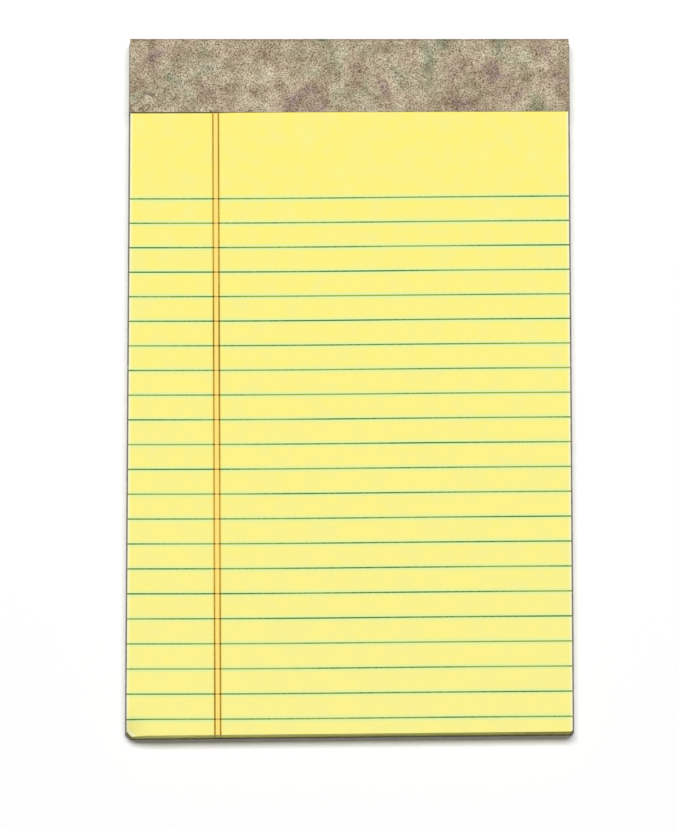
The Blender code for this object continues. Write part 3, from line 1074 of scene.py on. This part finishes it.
@dataclass
class SheetStack:
    """The sheets below the top one, each a thin slab with print on its long sides and its foot."""

    plan: PadPlan
    ruling: Ruling
    sheets: int = SHEET_COUNT - 1
    thickness: float = 0.086 * MM
    looseness: float = 0.9  # how much of the free height a sheet can be lifted by
    head_gap: float = 0.02 * MM
    slip: float = 0.05 * MM  # how far one sheet's edge can stand in behind the next one's
    ripple: float = 0.03 * MM
    ripple_lengths: tuple[float, ...] = (71.0 * MM, 23.0 * MM, 8.0 * MM)
    print_drift: float = 0.14 * MM  # how far the print lies off from sheet to sheet
    tick_spread: float = 1.15  # ink spreads a little at a cut edge
    left_wear: Span = (1.5 * MM, 1.6 * MM)  # corner radius of the lowest and top sheet
    right_wear: Span = (0.75 * MM, 0.42 * MM)
    header_points: int = 6
    foot_points: tuple[int, int] = (5, 19)  # left and right of the margin lines
    seed: int = 5

    def build(self, materials: list[bpy.types.Material]) -> bpy.types.Object:
        """Build the sheets as one piece and hand it to the pad.

        Args:
            materials: cut paper and inks, in the order of Slot.

        Returns:
            The finished piece.
        """
        rng = np.random.default_rng(self.seed)
        pitch = (self.plan.block_top - self.plan.block_bottom) / SHEET_COUNT
        low = self.plan.block_bottom + pitch * np.arange(self.sheets)
        low = low + rng.uniform(0.0, self.looseness * (pitch - self.thickness), self.sheets)
        high = low + self.thickness
        outline, walls = self._outline(rng)
        loops, outward = outline.loops(self.plan, self._layers(rng, high))
        phases = rng.uniform(0.0, 2.0 * np.pi, (self.sheets, 1, len(self.ripple_lengths)))
        loops = roughen(loops, outward, self.ripple, self.ripple_lengths, phases)
        levels = (np.broadcast_to(z[:, None], loops.shape[:2]) for z in (low, high))
        rings = [np.dstack([loops, level]) for level in levels]
        points = self.plan.crushed(np.stack(rings, axis=1))
        faces, slots = loft_solids(points, outline.rungs, walls)
        stack = put_mesh("sheet_stack", points, faces, slots, materials)
        place(stack, "yellow_paper", "sheet_block")
        return stack

    def _layers(self, rng: np.random.Generator, high: Array) -> Layers:
        """Return the sheets' insets: the guillotine's draw by height, slip and the pressed head."""
        height = (np.arange(self.sheets) + 1.0) / SHEET_COUNT
        slip = rng.uniform(0.0, self.slip, (3, self.sheets))
        past_round = np.clip(high - (self.plan.block_top - HEAD_ROUND), 0.0, HEAD_ROUND)
        side = SIDE_RIM + (SIDE_DRAW - SIDE_RIM) * height
        return Layers(
            left=side + slip[0],
            right=side + slip[1],
            foot=FOOT_DRAW * height + slip[2],
            head=HEAD_ROUND - np.sqrt(HEAD_ROUND**2 - past_round**2) + self.head_gap,
            left_corner=np.interp(height, (0.0, 1.0), self.left_wear),
            right_corner=np.interp(height, (0.0, 1.0), self.right_wear),
        )

    def _outline(self, rng: np.random.Generator) -> tuple[Outline, Array]:
        """Return the points' places along the sheets' edges, and the slot of each wall.

        Between two rules a side has two plain points. Each rule has two of its own, a little
        further apart than the rule is wide, and the whole print lies off a little on each sheet.
        """
        drift = rng.normal(0.0, self.print_drift, (2, self.sheets, 1))
        half = self.tick_spread * self.ruling.rule_width / 2.0
        rules = np.arange(self.ruling.rules)
        offsets = np.array([2.0 * self.ruling.pitch / 3.0, self.ruling.pitch / 3.0, half, -half])
        sides = []
        for x in (-self.plan.side_x, self.plan.side_x):
            ticks = self.ruling.rule_y(self.plan, rules, x)
            stations = (ticks[:, None] + offsets).reshape(-1)
            header = np.linspace(self.plan.head_y, stations[0], self.header_points + 1)[:-1]
            sides.append(np.concatenate([header, stations, [self.plan.foot_y]]) + drift[0])
        side_slots = np.zeros(sides[0].shape[1] - 1, dtype=int)
        side_slots[self.header_points + 2 : -1 : len(offsets)] = Slot.RULE
        ticks = self.ruling.margin_edges(self.plan, self.plan.foot_y, self.tick_spread)
        before, after = self.foot_points
        left = np.linspace(-self.plan.side_x, ticks[0], before + 1)[:-1]
        right = np.linspace(ticks[-1], self.plan.side_x, after + 1)[1:]
        foot_x = np.concatenate([left, ticks, right]) + drift[1]
        foot_slots = np.zeros(foot_x.shape[1] - 1, dtype=int)
        foot_slots[[before, before + 2]] = Slot.MARGIN
        outline = Outline(left_y=sides[0], right_y=sides[1], foot_x=foot_x)
        return outline, outline.wall_slots(side_slots, foot_slots)


@dataclass
class BackingBoard:
    """The chipboard behind the sheets: one plate with softened edges and knocked foot corners.

    It stands out a little more than its CAD node, as the dark lines along the pad's sides show.
    """

    plan: PadPlan
    overhang: float = 0.18 * MM
    edge_round: float = 0.10 * MM
    edge_steps: int = 4
    head_steps: int = 8
    roughness: float = 0.02 * MM
    rough_lengths: tuple[float, ...] = (31.0 * MM, 7.0 * MM, 2.3 * MM)
    left_wear: float = 1.55 * MM
    right_wear: float = 0.8 * MM
    point_spacing: float = 0.8 * MM
    seed: int = 11

    def build(self, materials: list[bpy.types.Material]) -> bpy.types.Object:
        """Build the board and hand it to the pad.

        Args:
            materials: the board's one material.

        Returns:
            The finished piece.
        """
        thickness = self.plan.board_top - self.plan.board_bottom
        lower = self._round_drop(self.edge_round, self.edge_steps)
        head_lower = self._round_drop(HEAD_ROUND, self.head_steps)
        rise = np.unique(np.round(np.concatenate([lower, head_lower, thickness - lower]), 9))
        inset = self._round_inset(np.minimum(rise, thickness - rise), self.edge_round)
        layers = Layers(
            left=inset - self.overhang,
            right=inset - self.overhang,
            foot=inset - self.overhang,
            head=self._round_inset(rise, HEAD_ROUND),
            left_corner=np.full_like(rise, self.left_wear),
            right_corner=np.full_like(rise, self.right_wear),
        )
        side = np.arange(self.plan.head_y, self.plan.foot_y, -self.point_spacing)
        foot = np.arange(-self.plan.side_x, self.plan.side_x, self.point_spacing)
        side_y, foot_x = (np.tile(stations, (len(rise), 1)) for stations in (side, foot))
        outline = Outline(left_y=side_y, right_y=side_y, foot_x=foot_x)
        loops, outward = outline.loops(self.plan, layers)
        rng = np.random.default_rng(self.seed)
        phases = rng.uniform(0.0, 2.0 * np.pi, len(self.rough_lengths))
        loops = roughen(loops, outward, self.roughness, self.rough_lengths, phases)
        level = np.broadcast_to((self.plan.board_bottom + rise)[:, None], loops.shape[:2])
        points = np.dstack([loops, level])[None]
        bare = (np.zeros(len(stations) - 1, dtype=int) for stations in (side, foot))
        faces, slots = loft_solids(points, outline.rungs, outline.wall_slots(*bare))
        board = put_mesh("backing_card", points, faces, slots, materials)
        place(board, "grey_chipboard", "backing_board")
        return board

    @staticmethod
    def _round_drop(radius: float, steps: int) -> Array:
        """Return the heights of the points on a rounded edge: a quarter circle in equal turns."""
        return radius * (1.0 - np.cos(np.linspace(0.0, np.pi / 2.0, steps + 1)))

    @staticmethod
    def _round_inset(rise: Array, radius: float) -> Array:
        """Return how far a rounded edge stands in at a height above it: a quarter circle."""
        left = np.clip(radius - rise, 0.0, radius)
        return radius - np.sqrt(radius**2 - left**2)


@dataclass
class BindingTape:
    """The printed paper tape: one strip folded round the head, glued down along its front edge."""

    plan: PadPlan
    back_flap: float = 19.0 * MM
    thickness: float = 0.2 * MM
    back_steps: int = 23
    fold_steps: int = 10
    spine_steps: int = 7
    flap_spacing: float = 0.9 * MM
    across_steps: int = 140
    glue_down: float = 0.085 * MM
    glue_reach: float = 3.0 * MM
    loose_lift: float = 0.12 * MM  # how far the loose left end of the front edge stands off
    loose_end: Span = (-36.0 * MM, -8.0 * MM)  # the loose end passes into the glued one here
    cockle: float = 0.018 * MM
    cockle_lengths: tuple[float, ...] = (47.0 * MM, 19.0 * MM, 11.0 * MM)
    cockle_slant: float = 0.7
    cockle_start: float = 4.0 * MM  # the cockle is full from here below the head

    def build(self, materials: list[bpy.types.Material]) -> bpy.types.Object:
        """Build the strip and hand it to the pad.

        Args:
            materials: the printed face and the core, in the order of TapeSlot.

        Returns:
            The finished piece.
        """
        stand_off = self.plan.tape_high[1] - self.plan.head_y
        path, normal, from_edge = self._path()
        x = np.linspace(self.plan.tape_low[0], self.plan.tape_high[0], self.across_steps + 1)
        rise = self._unevenness(x, path, from_edge)
        layers = []
        for reach in (stand_off, stand_off - self.thickness):
            off = reach + rise
            y = path[:, None, 0] + normal[:, None, 0] * off
            z = path[:, None, 1] + normal[:, None, 1] * off
            y = y + self._shear(x, y, normal)
            layers.append(np.stack([np.broadcast_to(x, y.shape), y, z], axis=-1))
        cells = np.full((len(path) - 1, self.across_steps), TapeSlot.PRINTED)
        faces, slots = close_sheet(cells, TapeSlot.CORE)
        tape = put_mesh("head_tape", np.stack(layers), faces, slots, materials)
        place(tape, "printed_tape", "binding_tape")
        return tape

    def _path(self) -> tuple[Array, Array, Array]:
        """Return the strip's path on the pad's surface, from the back flap's edge to the front's.

        Two straight flaps and two quarter circles, joined by the straight drop down the head.

        Returns:
            y and z of the points, the outward normal there, and the distance to the front edge.
        """
        fold_y = self.plan.head_y - HEAD_ROUND
        low_z, high_z = self.plan.board_bottom + HEAD_ROUND, self.plan.block_top - HEAD_ROUND
        quarter = np.linspace(0.0, np.pi / 2.0, self.fold_steps + 1)
        back_y = np.linspace(self.plan.head_y - self.back_flap, fold_y, self.back_steps + 1)[:-1]
        front_steps = round(FRONT_FLAP / self.flap_spacing)
        front_y = np.linspace(fold_y, self.plan.head_y - FRONT_FLAP, front_steps + 1)[1:]
        spine_z = np.linspace(low_z, high_z, self.spine_steps + 1)[1:-1]
        stretches = [
            (back_y, low_z, -np.pi / 2.0),
            (fold_y, low_z, quarter - np.pi / 2.0),
            (fold_y, spine_z, 0.0),
            (fold_y, high_z, quarter),
            (front_y, high_z, np.pi / 2.0),
        ]
        rows = [np.stack(np.broadcast_arrays(*stretch), axis=-1) for stretch in stretches]
        centre_y, centre_z, angle = np.concatenate(rows).T
        normal = np.stack([np.cos(angle), np.sin(angle)], axis=-1)
        path = np.stack([centre_y, centre_z], axis=-1) + HEAD_ROUND * normal
        steps = np.linalg.norm(np.diff(path, axis=0), axis=-1)
        return path, normal, np.append(np.cumsum(steps[::-1])[::-1], 0.0)

    def _unevenness(self, x: Array, path: Array, from_edge: Array) -> Array:
        """Return how far the strip lies off its plain path, out being positive.

        The front edge is glued down, apart from its loose left end. Elsewhere the paper cockles
        with a few long waves that die away at the folds.
        """
        start, end = self.loose_end
        loose = 1.0 - smooth((x - start) / (end - start))
        inner = smooth(from_edge / self.glue_reach)
        lift = loose * (self.loose_lift + self.glue_down) - self.glue_down
        rise = (1.0 - inner)[:, None] * lift
        flat = smooth((self.plan.head_y - path[:, 0]) / self.cockle_start) * inner
        phases = np.arange(len(self.cockle_lengths))
        across = waves(x[None, :] + self.cockle_slant * path[:, :1], self.cockle_lengths, phases)
        return rise + self.cockle * flat[:, None] * across

    def _shear(self, x: Array, y: Array, normal: Array) -> Array:
        """Return how far points move along y so that the front flap is cut askew."""
        share = np.clip((self.plan.head_y - y) / FRONT_FLAP, 0.0, 1.0) * (normal[:, 1:2] > 0.0)
        return FRONT_SKEW * share * x / (x[-1] - x[0])


@dataclass
class Studio:
    """A white floor, one soft lamp above it and the camera of the photograph.

    The lamp is a broad soft box over the pad that leans towards its head, so the foot and the floor
    before it are in shade. The white room gives only a little light of its own.
    """

    elevation: float = math.radians(77.7)
    distance: float = 2.0
    lens: float = 303.4
    shift: Span = (-3.264 * MM, -7.70 * MM)
    lamp_height: float = 6.0
    lamp_reach_x: float = math.radians(20.0)
    lamp_reach_y: Span = (math.radians(8.0), math.radians(28.0))
    lamp_power: float = 446.0
    room_light: float = 0.08
    under_light: float = 1.9
    under_spread: float = math.radians(10.0)
    floor_hex: str = "f9f9f9"
    floor_glow: float = 0.05
    floor_size: float = 12.0

    def build(self) -> None:
        """Build the camera, the lamps, the room and the floor, and show colours as they are."""
        bpy.context.scene.view_settings.view_transform = "Standard"
        self._camera()
        self._lamps()
        self._room()
        self._floor()

    def _link(self, name: str, data: bpy.types.ID) -> bpy.types.Object:
        """Put a camera, a lamp or a mesh into the scene."""
        obj = bpy.data.objects.new(name, data)
        bpy.context.scene.collection.objects.link(obj)
        return obj

    def _camera(self) -> None:
        """Set the camera up in the photograph's place, looking down at the pad from its foot."""
        data = bpy.data.cameras.new("camera")
        data.lens = self.lens
        camera = self._link("camera", data)
        back = np.array([0.0, -math.cos(self.elevation), math.sin(self.elevation)])
        camera.location = self.distance * back + np.array([*self.shift, 0.0])
        camera.rotation_euler = (math.pi / 2.0 - self.elevation, 0.0, 0.0)
        bpy.context.scene.camera = camera

    def _lamps(self) -> None:
        """Hang the soft box, and set a lamp below the floor for looking at the pad's back."""
        near, far = (self.lamp_height * math.tan(angle) for angle in self.lamp_reach_y)
        soft_box = bpy.data.lights.new("soft_box", "AREA")
        soft_box.shape = "RECTANGLE"
        soft_box.size = 2.0 * self.lamp_height * math.tan(self.lamp_reach_x)
        soft_box.size_y = far - near
        soft_box.energy = self.lamp_power
        lamp = self._link("soft_box", soft_box)
        lamp.location = (0.0, (near + far) / 2.0, self.lamp_height)
        lamp.visible_camera = False
        under = bpy.data.lights.new("under_lamp", "SUN")
        under.energy = self.under_light
        under.angle = self.under_spread
        self._link("under_lamp", under).rotation_euler = (math.pi, 0.0, 0.0)

    def _seen(self, tree: Tree, unseen: float, seen: float) -> Socket:
        """Return the seen level for rays from the camera, gloss or glass, else the unseen one."""
        rays = add_node(tree, "LightPath").node.outputs
        either = add_node(
            tree, "Math", rays["Is Glossy Ray"], rays["Is Transmission Ray"], operation="MAXIMUM"
        )
        share = add_node(tree, "Math", rays["Is Camera Ray"], either, operation="MAXIMUM")
        return add_node(tree, "MapRange", share, 0.0, 1.0, unseen, seen)

    def _room(self) -> None:
        """Make the room white to look at, and dim as a light."""
        world = bpy.data.worlds.new("white_room")
        world.use_nodes = True
        tree = world.node_tree
        background = tree.nodes["Background"]
        background.inputs["Color"].default_value = (1.0, 1.0, 1.0, 1.0)
        tree.links.new(self._seen(tree, self.room_light, 1.0), background.inputs["Strength"])
        bpy.context.scene.world = world

    def _floor(self) -> None:
        """Lay the floor: white paper that takes the pad's shadow, and see-through from below."""
        half = self.floor_size / 2.0
        corners = [(-half, -half, 0.0), (half, -half, 0.0), (half, half, 0.0), (-half, half, 0.0)]
        mesh = bpy.data.meshes.new("floor")
        mesh.from_pydata(corners, [], [(0, 1, 2, 3)])
        material = bpy.data.materials.new("white_background_paper")
        material.use_nodes = True
        tree = material.node_tree
        tree.nodes.remove(tree.nodes["Principled BSDF"])
        paper = add_node(tree, "BsdfDiffuse", linear(self.floor_hex))
        strength = self._seen(tree, 0.0, self.floor_glow)
        glow = add_node(tree, "Emission", named={"Strength": strength})
        white = add_node(tree, "AddShader", paper, glow)
        below = add_node(tree, "NewGeometry").node.outputs["Backfacing"]
        shadow = add_node(tree, "LightPath").node.outputs["Is Shadow Ray"]
        clear = add_node(tree, "Math", below, shadow, operation="MAXIMUM")
        mixed = add_node(tree, "MixShader", clear, white, add_node(tree, "BsdfTransparent"))
        tree.links.new(mixed, tree.nodes["Material Output"].inputs["Surface"])
        mesh.materials.append(material)
        self._link("floor", mesh)


def dress_staples(finish: Finish, *nodes: str) -> None:
    """Give the staples, whose CAD shape is right, their zinc finish.

    Args:
        finish: the wire's finish.
        nodes: the CAD nodes of the staples.
    """
    material = finish.material()
    for name in nodes:
        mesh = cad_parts[name].data
        mesh.materials.clear()
        mesh.materials.append(material)
        log.info("%s: dressed with %s", name, material.name)


def main() -> None:
    """Build the studio, then the pad's pieces from the board up, and dress the staples."""
    plan = PadPlan.from_frame()
    ruling = Ruling()
    inks = [ink.material() for ink in INKS]
    Studio().build()
    BackingBoard(plan).build([Chipboard().material()])
    SheetStack(plan, ruling).build([CutPaper(plan=plan).material(), *inks])
    TopSheet(plan, ruling).build([YellowPaper(plan=plan, ruling=ruling).material(), *inks])
    BindingTape(plan).build([StonePrint(plan=plan).material(), TapeCore().material()])
    dress_staples(ZincWire(), "staple_left", "staple_right")


if __name__ == "__main__":
    logging.basicConfig(level=logging.INFO, format="%(name)s: %(message)s")
    main()
